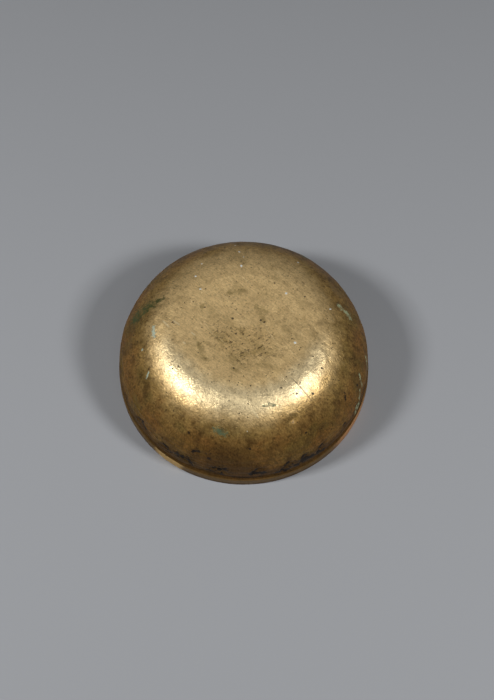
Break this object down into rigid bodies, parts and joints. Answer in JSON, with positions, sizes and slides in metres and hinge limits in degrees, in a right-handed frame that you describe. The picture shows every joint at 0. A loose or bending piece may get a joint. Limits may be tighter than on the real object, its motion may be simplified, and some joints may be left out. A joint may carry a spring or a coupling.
{
  "type": "singing bowl",
  "caption": "Hand-hammered bronze singing bowl, shallow and round-shouldered, with a flat base and a thickened lip, lying mouth down.",
  "frame": {"origin": "centre of the rim circle, on the surface that the upside-down bowl rests on", "axes": "+Z along the bowl's axis, from the mouth to the outside of the base"},
  "size_m": [0.198, 0.198, 0.075],
  "materials": {
    "bronze": "hammered bell bronze with a brown patina, rubbed golden on the base and shoulder, with traces of green verdigris"
  },
  "bodies": {
    "root": {"bowl": "bronze"}
  },
  "joints": []
}
